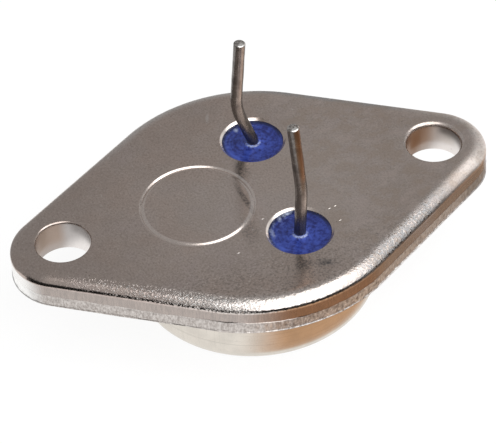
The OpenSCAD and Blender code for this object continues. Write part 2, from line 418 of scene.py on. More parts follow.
def edge_section(mesh, sizes, layers):
    """Draws half of the plate's section at its edge, from the flat pin side over the roll and down the wall."""
    top, bottom = PLATE_HIGH.z, PLATE_LOW.z
    seat = 0.08 * MM
    arris = sizes.arris_radius
    lean = 2 * math.atan((sizes.roll_depth - arris) / (sizes.roll_width - arris))
    roll = arris + (sizes.roll_width - arris) / math.sin(lean)
    flat_end = sizes.middle_radius - sizes.roll_width
    arris_z = top - sizes.roll_depth
    vert = mesh.verts.new((0, flat_end - seat, top))
    vert = line(mesh, vert, (0, seat, 0))
    vert = arc(mesh, vert, (0, flat_end, top - roll), X_AXIS, -lean, 16)
    vert = arc(mesh, vert, (0, sizes.middle_radius - arris, arris_z), X_AXIS, lean - math.pi / 2, 9)
    wall = arris_z - bottom
    done = 0
    for down, count in WALL_ROWS:
        vert = line(mesh, vert, (0, 0, (done - down) * wall), count)
        done = down
    line(mesh, vert, (0, -seat, 0), 1)
    for vert in mesh.verts:
        down = (arris_z - vert.co.z) / wall
        across = (vert.co.y - flat_end) / sizes.roll_width
        vert[layers["down"]] = down if vert.co.y > sizes.middle_radius - 1e-8 else -1
        vert[layers["rolled"]] = ramp(across, 0.05, 0.6) if down < 0.01 else 0
    return arris_z


# Steps along a quarter of the outline.
MIDDLE_STEPS, FLANK_STEPS, END_STEPS = 60, 106, 34


def sweep_outline(mesh, outline):
    """Carries the drawn section around a quarter of the outline, and mirrors it to the whole."""
    tangent = outline.tangent
    last = spin(mesh, section(mesh), MIDDLE_STEPS, angle=tangent - math.pi / 2)
    run = Vector((math.sin(tangent), -math.cos(tangent), 0)) * outline.flank / FLANK_STEPS
    last = spin(mesh, last, FLANK_STEPS, dvec=run)
    spin(mesh, last, END_STEPS, cent=(outline.hole_x, 0, 0), angle=-tangent)
    for axis in ("Y", "X"):
        whole = section(mesh) + mesh.faces[:]
        bmesh.ops.mirror(mesh, geom=whole, matrix=Matrix.Identity(4), merge_dist=WELD, axis=axis)


def tear_wall(mesh, sizes, outline, layers, wall):
    """Tears the stamped wall: the rows follow the wandering start of the tear, which stands proud as a ledge,
    falls back in lumps, and ends in a burr."""
    for vert in mesh.verts:
        down = vert[layers["down"]]
        if down < 0:
            continue
        around = Vector((vert.co.x, vert.co.y, 0)) / MM
        wander = noise.noise(around * 0.35) + 0.6 * noise.noise(around * 1.3) + 0.3 * noise.noise(around * 4.1)
        start = TEAR_START + wander * sizes.tear_wander / wall
        if down <= TEAR_START:
            moved = down * start / TEAR_START
        else:
            moved = mix(start, 1, (down - TEAR_START) / (1 - TEAR_START))
        vert.co.z -= (moved - down) * wall
        torn = ramp(down, TEAR_START, TEAR_START + 0.02)
        ledge = sizes.tear_ledge * ramp(around.x, -9, -3) * mix(0.8, 0.1, ramp(around.x, -3, 2))
        burr = ramp(down, 0.955, 0.974)
        lumps = noise.noise(Vector((around.x, around.y, vert.co.z / MM * 0.45)) / 0.42)
        lumps += 0.7 * noise.noise(Vector((around.x, around.y, vert.co.z / MM * 0.4)) / 0.17)
        proud = torn * mix(1, 0.2, ramp(down, TEAR_START + 0.05, 0.93)) * ledge
        proud += torn * ramp(down, TEAR_START + 0.05, 0.6) * (1 - burr) * lumps * sizes.tear_roughness
        proud += burr * (1 + 0.6 * noise.noise(around * 0.6)) * sizes.tear_ledge * 0.8
        vert.co += outline.outward(vert.co) * proud
        vert[layers["sheared"]] = 1 - torn
        vert[layers["torn"]] = torn


# Radius from which the rim of a screw hole counts as wide.
WIDE_RIM = 0.4 * MM


def screw_hole(sizes, x, rim):
    """Punches one screw hole: drawn-in rim, sheared wall, and a wider break-out on the can side."""
    top, bottom, radius = PLATE_HIGH.z, PLATE_LOW.z, sizes.hole_radius
    seat = 0.06 * MM
    mesh, layers = plate_mesh()
    vert = mesh.verts.new((x + radius + rim + seat, 0, top))
    vert = line(mesh, vert, (-seat, 0, 0))
    vert = arc(mesh, vert, (x + radius + rim, 0, top - rim), Y_AXIS, -math.pi / 2, 12)
    straight = top - rim - bottom - sizes.break_height
    vert = line(mesh, vert, (0, 0, -straight), 8)
    vert = line(mesh, vert, (sizes.break_width, 0, -sizes.break_height), 8)
    line(mesh, vert, (seat, 0, 0))
    for vert in mesh.verts:
        deep = vert.co.z < top - 0.7 * rim
        broken = ramp(top - vert.co.z, rim + straight, rim + straight + 0.2 * MM)
        vert[layers["sheared"]] = (1 - broken) if deep else 0
        vert[layers["torn"]] = broken * 0.4
        vert[layers["bored"]] = deep
        vert[layers["rolled"]] = 0.35 * ramp(top - vert.co.z, 0, 0.1 * rim) * (not deep)
    turn(mesh, (x, 0, 0), BORE_STEPS)
    wide = min(rim / WIDE_RIM, 1)
    # Painted light and shade on the bore, by direction round the hole and depth: lit low on the right, shaded
    # high on the right. Painted brown reflection on the far wall, towards the left.
    for vert in mesh.verts:
        around = math.atan2(vert.co.y, vert.co.x - x)
        deep = (top - vert.co.z) / (top - bottom)
        warm = ramp(around, 1.1, 1.55) * (1 - 0.5 * ramp(around, 2.6, 3.1)) * (1 - 0.6 * ramp(deep, 0.5, 1))
        vert[layers["warm"]] = warm * mix(0.5, 0.75, wide)
        lit = 0.44 + 0.56 * ramp(math.cos(around) + deep, 0.9, 1.7) * ramp(deep, 0.3, 0.6)
        shaded = ramp(around, -0.5, 0) * (1 - ramp(around, 0.8, 1.2)) * (1 - ramp(deep, 0.22, 0.46))
        vert[layers["bright"]] = lit * (1 - shaded * wide)
    return mesh


def seal_hole(sizes, place, radius):
    """Cuts one bevelled hole for a glass bead."""
    seat = 0.06 * MM
    mesh, layers = plate_mesh()
    vert = mesh.verts.new((place.x + radius + sizes.bevel_width + seat, place.y, PLATE_HIGH.z))
    vert = line(mesh, vert, (-seat, 0, 0))
    vert = line(mesh, vert, (-sizes.bevel_width, 0, -sizes.bevel_depth), 3)
    line(mesh, vert, (0, 0, PLATE_LOW.z - PLATE_HIGH.z + sizes.bevel_depth), 4)
    for vert in mesh.verts:
        vert[layers["coined"]] = ramp(PLATE_HIGH.z - vert.co.z, 0, 0.05 * MM)
    turn(mesh, (place.x, place.y, 0), SEAL_STEPS)
    # Painted light: the bevel is lit on its far left side, by direction round the hole.
    for vert in mesh.verts:
        around = math.atan2(vert.co.y - place.y, vert.co.x - place.x)
        vert[layers["bright"]] = ramp(math.cos(around - 2.3), 0.2, 0.6)
    return mesh


# Section of the ring mark from its inner to its outer edge, in shares of its width and depth.
RING_SECTION = ((0.15, 0.06), (0.2, 0.3), (0.2, 0.5), (0.14, 0.14), (0.06, -0.1), (0.14, -0.7), (0.11, -0.2))


def ring_mark(sizes, centre, radius):
    """Coins the shallow ring into the pin side, with the flat disc that it goes round."""
    top = PLATE_HIGH.z
    seat = 0.05 * MM
    half = sizes.ring_width / 2
    mesh, layers = plate_mesh()
    vert = mesh.verts.new((centre.x + radius - half - seat, centre.y, top))
    vert = line(mesh, vert, (seat, 0, 0))
    # The ring carries painted light all round it, weighted by its coined mark.
    for run, drop in RING_SECTION:
        vert = line(mesh, vert, (run * sizes.ring_width, 0, -drop * sizes.ring_depth))
        vert[layers["coined"]], vert[layers["bright"]] = 0.36, 1
    line(mesh, vert, (seat, 0, 0))[layers["coined"]] = 0
    turn(mesh, (centre.x, centre.y, 0), RING_STEPS)
    inner = [edge for edge in open_edges(mesh, top) if (edge.verts[0].co - centre).xy.length < radius]
    bmesh.ops.triangle_fill(mesh, edges=inner, use_beauty=True, normal=Z_AXIS)
    return mesh


def circle_profile(mesh, points, rounded=()):
    """Draws a chain of edges through places, with some of its corners rounded by (corner, radius, segments)."""
    verts = [mesh.verts.new(point) for point in points]
    for pair in zip(verts, verts[1:]):
        mesh.edges.new(pair)
    for corner, radius, segments in rounded:
        bmesh.ops.bevel(
            mesh,
            geom=[verts[corner]],
            offset=radius,
            affect="VERTICES",
            segments=segments,
            profile=0.5,
            material=-1,
        )


@dataclass
class Wire:
    """End of a round wire that is being drawn and bent in the plane of X and Z."""

    mesh: bmesh.types.BMesh
    ring: list
    layer: object
    place: Vector
    heading: float = 0
    length: float = 0

    @property
    def along(self):
        """Direction that the wire runs in."""
        return Vector((math.sin(self.heading), 0, math.cos(self.heading)))

    def grow(self, length):
        """Grows the ring into a new one at the same place, and marks how far along the wire that will be."""
        self.length += length
        made = bmesh.ops.extrude_edge_only(self.mesh, edges=self.ring)["geom"]
        self.ring = [item for item in made if isinstance(item, bmesh.types.BMEdge)]
        verts = [item for item in made if isinstance(item, bmesh.types.BMVert)]
        for vert in verts:
            vert[self.layer].z = self.length
        return verts

    def move(self, verts, length):
        """Moves a new ring along the wire."""
        bmesh.ops.translate(self.mesh, verts=verts, vec=self.along * length)
        self.place += self.along * length

    def run(self, length, steps):
        """Draws a straight stretch."""
        for _ in range(steps):
            self.move(self.grow(length / steps), length / steps)

    def bend(self, angle, radius, steps):
        """Bends the wire towards +X, or towards -X for a negative angle."""
        aside = Vector((math.cos(self.heading), 0, -math.sin(self.heading)))
        hub = self.place + aside * math.copysign(radius, angle)
        part = Matrix.Rotation(angle / steps, 3, "Y")
        for _ in range(steps):
            verts = self.grow(abs(angle) * radius / steps)
            bmesh.ops.rotate(self.mesh, verts=verts, cent=hub, matrix=part)
            self.place = hub + part @ (self.place - hub)
            self.heading += angle / steps

    def widen(self, radius_from, radius_to, rise, steps=1):
        """Steps the wire to another radius over a rise."""
        for step in range(steps):
            now = mix(radius_from, radius_to, step / steps)
            then = mix(radius_from, radius_to, (step + 1) / steps)
            verts = self.grow(rise / steps)
            here = Matrix.Translation(-self.place)
            bmesh.ops.scale(self.mesh, verts=verts, vec=(then / now,) * 3, space=here)
            self.move(verts, rise / steps)


# ---- Finishes ----


def tint(colour, *factors):
    """Colour times one factor, or times one for each channel."""
    return [part * factor for part, factor in zip(colour, factors * 3)]


def math_node(operation, swapped=False):
    """Method that adds one Math node, with its terms swapped for a value on the right of an operator."""

    def method(value, *others):
        terms = (*others, value) if swapped else (value, *others)
        return value.finish.node("ShaderNodeMath", {"operation": operation}, dict(enumerate(terms)))

    return method


class Value:
    """Output of a node. Arithmetic on values adds the Math nodes that work it out."""

    def __init__(self, finish, socket):
        self.finish, self.socket = finish, socket

    __add__, __radd__ = math_node("ADD"), math_node("ADD", swapped=True)
    __sub__, __rsub__ = math_node("SUBTRACT"), math_node("SUBTRACT", swapped=True)
    __mul__, __rmul__ = math_node("MULTIPLY"), math_node("MULTIPLY", swapped=True)
    __truediv__, __mod__ = math_node("DIVIDE"), math_node("FLOORED_MODULO")
    __gt__, __lt__ = math_node("GREATER_THAN"), math_node("LESS_THAN")
    __abs__, most = math_node("ABSOLUTE"), math_node("MAXIMUM")

    def step(self, low, high):
        """Smooth step from 0 at low to 1 at high."""
        limits = {0: self, 1: low, 2: high, 3: 0.0, 4: 1.0}
        return self.finish.node("ShaderNodeMapRange", {"interpolation_type": "SMOOTHSTEP"}, limits)


class Finish:
    """A material, built node by node. Places and sizes in it are in millimetres."""

    def __init__(self, name, tree=None):
        if tree is None:
            self.material = bpy.data.materials.new(name)
            self.material.use_nodes = True
            tree = self.material.node_tree
        tree.nodes.clear()
        self.tree = tree

    def node(self, kind, settings=None, inputs=None, out=0):
        """Adds a node: its settings first, then the values or links of its sockets. Returns one output."""
        made = self.tree.nodes.new(kind)
        for setting, choice in (settings or {}).items():
            setattr(made, setting, choice)
        for socket, source in (inputs or {}).items():
            if isinstance(source, Value):
                self.tree.links.new(source.socket, made.inputs[socket])
            else:
                made.inputs[socket].default_value = source
        return Value(self, made.outputs[out])

    def place(self, here=None, stretch=(1, 1, 1), turned=0, centre=(0, 0, 0)):
        """Place on the piece, or one in metres that its mesh carries: centred, stretched and turned about Z."""
        here = here or self.node("ShaderNodeTexCoord", out="Object")
        if any(centre):
            middle = Vector(centre) * MM
            here = self.node("ShaderNodeVectorMath", {"operation": "SUBTRACT"}, {0: here, 1: middle})
        inputs = {0: here, 2: (0, 0, turned), 3: Vector(stretch) / MM}
        return self.node("ShaderNodeMapping", {"vector_type": "POINT"}, inputs)

    def split(self, vector):
        """The three parts of a vector."""
        return [self.node("ShaderNodeSeparateXYZ", {}, {0: vector}, axis) for axis in "XYZ"]

    def length(self, vector):
        """Length of a vector."""
        return self.node("ShaderNodeVectorMath", {"operation": "LENGTH"}, {0: vector}, "Value")

    def mark(self, name, out="Fac"):
        """Attribute that the piece's mesh carries."""
        return self.node("ShaderNodeAttribute", {"attribute_name": name}, out=out)

    def grain(self, place, size, detail=2, roughness=0.5):
        """Even noise from 0 to 1, with lumps of a size."""
        inputs = {"Vector": place, "Scale": 1 / size, "Detail": detail, "Roughness": roughness}
        return self.node("ShaderNodeTexNoise", {"normalize": True}, inputs)

    def specks(self, place, spacing, share, radius):
        """Round specks: 1 inside, on a share of the cells of a loose grid."""
        inputs = {"Vector": place, "Scale": 1 / spacing, "Randomness": 1.0}
        cells = {"feature": "F1", "voronoi_dimensions": "3D"}
        far = self.node("ShaderNodeTexVoronoi", cells, inputs, "Distance")
        lot = self.node("ShaderNodeTexVoronoi", cells, inputs, "Color")
        lot = self.node("ShaderNodeSeparateColor", {}, {0: lot})
        return (lot < share) * (1 - far.step(radius / spacing * 0.6, radius / spacing))

    def spot(self, centre, turned, half):
        """Oval patch on the flat face: 1 at its middle, falling to 0 at its edge."""
        inputs = {0: self.place(), 1: (*centre, 0), 2: (0, 0, turned), 3: (*half, ANY_HEIGHT)}
        here = self.node("ShaderNodeMapping", {"vector_type": "TEXTURE"}, inputs)
        return 1 - self.length(here).step(0.15, 1)

    def spots(self, places):
        """Sum of oval patches, each by place, direction in degrees, length, width and strength."""
        total = 0
        for x, y, turned, length, width, strength in places:
            total = self.spot((x, y), math.radians(turned), (length / 2, width / 2)) * strength + total
        return total

    def blend(self, share, first, second, kind="MIX"):
        """Colour between two others."""
        settings = {"data_type": "RGBA", "blend_type": kind}
        paints = {6: self.paint(first), 7: self.paint(second)}
        return self.node("ShaderNodeMix", settings, {0: share, **paints}, 2)

    def coat(self, tone, *coats):
        """Colour under coats, each by its share and its colour, and by its kind where it isn't a plain mix."""
        for share, colour, *kind in coats:
            tone = self.blend(share, tone, colour, *kind)
        return tone

    def paint(self, colour):
        """Colour as a socket takes it."""
        return colour if isinstance(colour, Value) else (*colour, 1)

    def surface(self, height, tone, gloss, metallic=1.0, **more):
        """Ends the material in a Principled shader, bumped by a height in micrometres, and returns it."""
        bumps = {"Strength": 1.0, "Distance": 1.0, "Height": height * MICRON}
        inputs = {"Base Color": tone, "Metallic": metallic, "Roughness": gloss, **more}
        inputs["Normal"] = self.node("ShaderNodeBump", {}, bumps)
        self.show(self.node("ShaderNodeBsdfPrincipled", {}, inputs))
        return self.material

    def glow(self, colour, radiance):
        """Shader that gives out light."""
        return self.node("ShaderNodeEmission", {}, {"Color": self.paint(colour), "Strength": radiance})

    def either(self, share, first, second):
        """Shader between two others."""
        return self.node("ShaderNodeMixShader", {}, {0: share, 1: first, 2: second})

    def show(self, shader, output="ShaderNodeOutputMaterial"):
        """Links a shader to the output."""
        self.tree.links.new(shader.socket, self.tree.nodes.new(output).inputs["Surface"])


class PlateFinish(Finish):
    """Satin nickel over stamped steel: grainy on the rolled edge, drawn along its sheared walls, rough where it
    is torn, with painted light and shade on the rolled edge, the walls and the ring, and painted light, shade
    and a brown reflection in the screw holes."""

    def __init__(self, colours):
        super().__init__("satin_nickel")
        self.colours = colours
        for name in PLATE_MARKS:
            setattr(self, name, self.mark(name))
        place = self.place()
        across, along, up = self.split(place)
        # Regions of the plate, by place.
        self.across, self.back = across, along.step(2, 10) * (1 - across.step(-7, 3))
        self.side, self.flank, self.end = across.step(1, 7), across.step(-1, 5), across.step(11, 17)
        self.front, self.near = (along * -1).step(5, 9), (along * -1).step(0.5, 2.5)
        self.turned = across.step(-3, -1) * self.near
        # Left tip of the wall, where near-white glare is painted.
        self.tip = 1 - across.step(-18.9, -17.5)
        top = PLATE_HIGH.z / MM
        upper = up.step(top - 0.78, top - 0.6)
        self.flat = (1 - self.sheared) * (1 - self.torn)
        # Grains, from even ones to those drawn out along the wall or the face.
        self.fine = self.grain(place, 0.13, roughness=0.6)
        self.sand = self.grain(self.place(stretch=(1.2, 1, 1), turned=0.9), 0.2, roughness=0.7)
        self.sparkle = self.grain(self.place(stretch=(1, 1.3, 1), turned=0.4), 0.19, detail=1)
        self.coarse = self.grain(place, 0.4)
        self.patches = self.grain(place, 1.1, detail=3)
        self.clouds = self.grain(place, 6)
        self.lumps = self.grain(place, 0.3, detail=3, roughness=0.7)
        self.tints = self.grain(self.place(centre=(9, 4, 0)), 3.5, detail=3, roughness=0.6)
        blotched = self.place(stretch=(1, 1.3, 1), centre=(2, 1, 0))
        self.blotches = self.grain(blotched, 1.7, detail=3, roughness=0.65)
        self.drags = self.grain(self.place(stretch=(1, 1, 0.12)), 0.12, detail=3, roughness=0.6)
        self.rips = self.grain(self.place(stretch=(1, 1, 0.5)), 0.16, detail=4, roughness=0.7)
        scores = self.grain(self.place(stretch=(1, 0.03, 1), turned=0.5), 0.05, detail=1)
        # Small marks of wear.
        self.nicks = scores.step(0.74, 0.8) * self.flat
        self.pits = self.specks(place, 0.8, 0.25, 0.07) * self.flat
        self.dents = self.specks(self.place(centre=(0.3, 0.1, 0)), 1.9, 0.16, 0.1) * self.flat
        self.scratches = self.spots(SCRATCHES)
        self.chips = self.sparkle.step(0.52, 0.62) * (1 - self.end) * upper
        # Glints: sharp bumps on the rolled edge at the near left, which the face also paints near-white as a
        # painted highlight.
        glints = (self.grain(place, 0.12, detail=1) + across.step(-12, -6) * 0.09).step(0.57, 0.68)
        glints = glints * self.rolled * self.rolled * upper * (1 - across.step(-6, -2))
        self.glints = glints * across.step(-17, -10) * (along * -1).step(2, 4)

    def build(self):
        """Finishes the material: face, sheared wall, torn wall and bores, under the marks of wear."""
        worn = self.nicks * 0.6 + self.dents * 0.5 + self.scratches
        tone = self.coat(
            self.face_tone(),
            (self.sheared, self.wall_tone()),
            (self.torn, self.torn_tone()),
            (self.bored * (0.85 + self.drags * 0.15), self.bore_tone()),
            (worn, (0.86, 0.83, 0.8)),
            (self.pits * 0.6, tint(self.colours.dull_nickel, 0.4)),
        )
        return self.surface(self.height(), tone, self.gloss())

    def face_tone(self):
        """Nickel of the flat face and the rolled edge, lighter over the middle and darker towards the ends and
        back, with a painted highlight, shade and light on the rolled edge and painted light on the ring and
        seal bevels.
        """
        nickel, dull = self.colours.nickel, self.colours.dull_nickel
        across, side, sand, fine = self.across, self.side, self.sand, self.fine
        worn = (self.patches * 0.35 + self.clouds * 0.45 + sand * 0.2).step(0.38, 0.62)
        ends = abs(across).step(7, 18) * (1 - across.step(0, 9) * 0.5)
        # Painted highlight along the middle of the rolled edge, and painted shade on its right part.
        painted_highlight = self.rolled * across.step(-11, -5) * (1 - across.step(1, 6) * 0.75)
        shade = self.rolled * side * (1 - across.step(12, 16))
        disc = self.spot((round_box("heat_spreader")[0] / MM).xy, 0, (6, 6))
        middle = self.spot((1.5, -2), 0.4, (11, 8))
        patch_speckle = 0.35 + (sand * 0.5 + self.sparkle * 0.5).step(0.42, 0.6) * 0.65
        return self.coat(
            nickel,
            (worn, dull),
            (self.tints.step(0.45, 0.65) * 0.25, tint(nickel, 1, 0.9, 0.84)),
            (self.tints.step(0.5, 0.3) * 0.3, tint(nickel, 1, 1, 1.08)),
            (ends * 0.4, tint(nickel, 0.6)),
            # Painted light on the rolled edge: a highlight along its middle, shade on its right part that
            # spares the sparkling grains, light at its right end, and near-white glints.
            (painted_highlight * 0.7, (0.86, 0.82, 0.79)),
            (shade * (1 - self.chips * 0.8), (0.36, 0.37, 0.385)),
            (self.rolled * across.step(14, 18) * 0.7, (1, 0.93, 0.88)),
            (self.glints, (1.0, 0.97, 0.94)),
            ((sand * 0.6 + fine * 0.4).step(0.46, 0.66) * 0.5, tint(dull, 0.6)),
            ((sand * 0.5 + fine * 0.5).step(0.46, 0.3) * (0.35 + self.front * 0.4), (0.86, 0.8, 0.74)),
            (self.sparkle.step(0.5, 0.66) * self.front * 0.5, tint(dull, 0.45)),
            (disc * 0.06 + side * 0.1 + middle * 0.14, (0.9, 0.85, 0.8)),
            (self.back * 0.16, tint(nickel, 0.5)),
            (self.blotches.step(0.44, 0.62) * side * 0.3, tint(nickel, 0.86, 0.78, 0.66)),
            (self.blotches.step(0.48, 0.36) * side * 0.3, tint(nickel, 1.22, 1.2, 1.2)),
            # Dark speckled patches on the flat face.
            (self.spots(DARK_PATCHES) * patch_speckle * self.flat, (0.18, 0.166, 0.162)),
            # Painted light on the coined ring and on the far left of the seal bevels.
            (self.coined * self.bright * (0.7 + self.patches * 0.6), (1.0, 0.92, 0.87)),
        )

    def wall_tone(self):
        """Sheared band, warmer at the middle of the near wall and bluer towards its right, with near-white
        painted glare at its left tip.
        """
        across, near = self.across, self.near
        return self.coat(
            self.colours.sheared_steel,
            (self.drags.step(0.3, 0.7) * 0.35, self.colours.nickel),
            (across.step(-5, -3.2) * (1 - across.step(5, 7.5)) * near, (0.85, 0.76, 0.7), TINT),
            (across.step(5, 8) * near, (1.02, 1.22, 1.5), TINT),
            (self.tip * 0.85, PAINTED_GLARE),
        )

    def torn_tone(self):
        """Torn band, with painted light and shade by place: darker and lumpy where the near wall turns away
        from the light, lighter and bluer to offset the brown card's reflection, darker at its right end, and
        near-white glare at its left tip.
        """
        across, near = self.across, self.near
        lumpy = self.turned * (1 - across.step(5, 9) * 0.75)
        return self.coat(
            self.colours.sheared_steel,
            (self.rips.step(0.3, 0.7), self.colours.torn_steel),
            (self.flank * self.rips.step(0.2, 0.6) * 0.7, (0.97, 0.92, 0.88)),
            (self.turned * (1 - across.step(1, 4)), (1.1, 1.16, 1.22), TINT),
            (across.step(1, 4) * near, (0.93, 0.97, 1.0), TINT),
            (across.step(15, 17) * near, (0.72, 0.72, 0.72), TINT),
            (lumpy * self.lumps.step(0.5, 0.62) * 0.6, (0.5, 0.46, 0.44), TINT),
            (lumpy * self.lumps.step(0.45, 0.35) * 0.8, (1.0, 0.99, 0.98)),
            (self.tip, PAINTED_GLARE),
        )

    def bore_tone(self):
        """Plating in the screw holes: lit and shaded copies mixed by painted light and shade, under a painted
        brown reflection.
        """
        colours = self.colours
        return self.coat(colours.shaded_bore_plating, (self.bright, colours.lit_bore_plating), (self.warm, colours.hole_reflection))

    def gloss(self):
        """Roughness of the plate."""
        gloss = 0.2 + (self.fine - 0.5) * 0.16 + (self.patches - 0.5) * 0.08 + self.sheared * 0.05
        gloss = gloss + self.torn * (0.14 + self.turned * 0.3) + self.bored * 0.12 - self.pits * 0.06
        return gloss + self.rolled * self.side * (0.26 - self.chips * 0.22)

    def height(self):
        """Height of the plate's grain, marks and tears in micrometres."""
        rolled = self.rolled * (1 - self.end * 0.7) * (0.25 + self.across.step(-16, -8) * 0.75)
        height = self.fine * (3 + rolled * 5) + self.sparkle * (2 + rolled * 15)
        height = height + self.coarse * (2 + rolled * 7) + self.glints * 32
        height = height * self.flat * (1 - self.coined)
        height = height + self.drags * self.sheared * 2.2 + self.rips * self.torn * (7 + self.flank * 16)
        return height - self.nicks * 3 - self.pits * 6 + self.dents * 8 - self.scratches * 26


def bright_can(colours):
    """Bright nickel over drawn steel: faint upright draw lines and level rings."""
    finish = Finish("bright_can_nickel")
    place = finish.place()
    draw = finish.grain(finish.place(stretch=(1, 1, 0.04)), 0.13, detail=3)
    rings = finish.grain(finish.place(stretch=(0.01, 0.01, 1)), 0.12)
    patches = finish.grain(place, 1.4, detail=3)
    fine = finish.grain(place, 0.12)
    pits = finish.specks(place, 0.9, 0.15, 0.06)
    tone = finish.coat(
        colours.can,
        (patches.step(0.3, 0.7), tint(colours.can, 0.9)),
        (draw.step(0.55, 0.8) * 0.4, tint(colours.can, 0.75)),
        (rings.step(0.55, 0.7) * 0.3 + pits * 0.5, tint(colours.can, 0.6)),
    )
    gloss = 0.24 + (patches - 0.5) * 0.12 + (draw - 0.5) * 0.08
    height = draw * 1.6 + rings * 2.4 + fine * 0.8 - pits * 4
    return finish.surface(height, tone, gloss)


def drawn_pin(colours, root):
    """Dull plating over drawn wire: lines along the wire, darker just above its root, small dents, a painted
    brown reflection on one side near the cut end, and a painted highlight crescent on the cut end.
    """
    finish = Finish("dull_pin_plating")
    straight = finish.mark("straight", out="Vector")
    place = finish.place(straight)
    along = finish.split(place)[2]
    lines = finish.grain(finish.place(straight, stretch=(1, 1, 0.05)), 0.07, detail=3)
    stains = finish.grain(place, 0.7, detail=3, roughness=0.6)
    fine = finish.grain(place, 0.09)
    torn = finish.grain(finish.place(), 0.13)
    cut = finish.blend(torn.step(0.4, 0.6), colours.pin, colours.torn_steel)
    cut_and_highlight = finish.mark("cut_and_highlight")
    tone = finish.coat(
        colours.pin,
        (stains.step(0.42, 0.72) * 0.55, colours.tarnish),
        (lines.step(0.5, 0.8) * 0.35, colours.tarnish),
        ((1 - along.step(root / MM + 0.3, root / MM + 1.5)) * 0.35, colours.tarnish),
        # Painted brown reflection on one side near the cut end, broken up by the stains.
        (finish.mark("warm") * (0.6 + stains * 0.4), colours.pin_brown_reflection),
        # The cut end in its own torn colour, with a near-white painted highlight crescent on one side.
        (cut_and_highlight.step(0, 0.5), cut),
        (cut_and_highlight.step(0.5, 0.8), (0.95, 0.93, 0.9)),
    )
    gloss = 0.3 + (stains - 0.5) * 0.25 + (fine - 0.5) * 0.12
    height = lines * 3.5 + fine * 1.6 + stains * 6 + torn * cut_and_highlight * 16
    return finish.surface(height, tone, gloss)


# Marks that the glass reads, the last four of them painted highlights, reflection and shade; the rim of a bead
# by its inset in millimetres and its share of the rise up the hole's wall; and the radius at which the streaks
# round a pin are read.
BEAD_MARKS = ("inner", "collar_highlight", "pale_left_reflection", "dark", "rim_highlight")
BEAD_RIM = ((0.45, 0), (0.3, 0.08), (0.15, 0.25), (0.05, 0.6), (0, 1))
SWIRL_RADIUS = 0.25 * MM
# Strength of the painted highlight specks near the far rim of each bead, and height and width of the waves in
# the glass.
RIM_HIGHLIGHTS = {"base": 0.25, "emitter": 0.6}
WAVE_HEIGHT, WAVE_WIDTH = 0.02 * MM, 0.8 * MM


def blue_glass(colours):
    """Deep blue sealing glass: streaks round the pin, tiny bubbles, paler near the pin, with painted
    highlights, a painted reflection at the left rim and painted shade at the far rim.
    """
    finish = Finish("blue_sealing_glass")
    place = finish.place()
    inner, collar_highlight, pale_left_reflection, dark, rim_highlight = (finish.mark(name) for name in BEAD_MARKS)
    clouds = finish.grain(place, 0.5, roughness=0.6)
    grains = finish.grain(place, 0.22, roughness=0.7)
    swirls = finish.grain(finish.place(finish.mark("swirl", out="Vector")), 0.25, roughness=0.6)
    bubbles = finish.specks(place, 0.26, 0.3, 0.09)
    depth = (clouds * 0.3 + grains * 0.4 + swirls * 0.3).step(0.38, 0.62) * 0.7 + bubbles * 0.15
    # Painted highlights, laid on in one light blue: the front of the collar, specks near the far left rim, and
    # the glints.
    light = collar_highlight * (0.3 + grains.step(0.4, 0.6) * 0.6) + rim_highlight * grains.step(0.52, 0.6) * 0.35
    light = light + finish.spots(GLINTS) * (0.35 + grains.step(0.4, 0.6) * 0.4)
    tone = finish.coat(
        colours.deep_glass,
        # The glass's own deeper and lighter patches, and a painted reflection along the left rim.
        (depth + pale_left_reflection * 0.9, colours.pale_glass),
        (inner * grains.step(0.35, 0.6) * 0.7, tint(colours.pale_glass, 1.4)),
        # Painted shade along the far rim.
        (dark * 0.85, (0.004, 0.006, 0.03)),
        (light, (0.5, 0.58, 0.76)),
    )
    height = clouds * 12 + grains * 3 + swirls * 3 + bubbles * 4
    return finish.surface(height, tone, 0.14 + grains * 0.12, metallic=0.0, IOR=1.52)


def satin_metal(name, light, dark, roughness, size, lines=(1, 1, 1)):
    """Plain satin metal for a piece inside the can, lighter and darker in patches of a size."""
    finish = Finish(name)
    patches = finish.grain(finish.place(), size, detail=4, roughness=0.6)
    brushed = finish.grain(finish.place(stretch=lines), size / 8)
    tone = finish.blend((patches * 0.6 + brushed * 0.4).step(0.35, 0.65), light, dark)
    gloss = roughness + (patches - 0.5) * 0.2
    return finish.surface(patches * 2 + brushed * 1.5, tone, gloss)


def silicon_chip(centre, side, face):
    """Polished silicon with a comb of aluminium on its bonding face, and bare sawn sides."""
    finish = Finish("silicon_with_comb")
    x, y, z = finish.split(finish.place(centre=(centre.x, centre.y, 0)))
    inside = (abs(x) < side * 0.46) * (abs(y) < side * 0.46)
    pitch = side / 12
    fingers = (x / pitch) % 1 > 0.35
    spine = abs(y) < side * 0.06
    comb = fingers.most(spine) * inside * (z < face + 0.01)
    sawn = finish.grain(finish.place(stretch=(1, 1, 0.1)), 0.04)
    tone = finish.blend(comb, (0.09, 0.095, 0.13), (0.78, 0.79, 0.80))
    gloss = 0.12 + sawn * 0.12 + comb * 0.15
    return finish.surface(comb * 3 + sawn, tone, gloss, metallic=comb * 0.6 + 0.4)


# ---- Operators ----


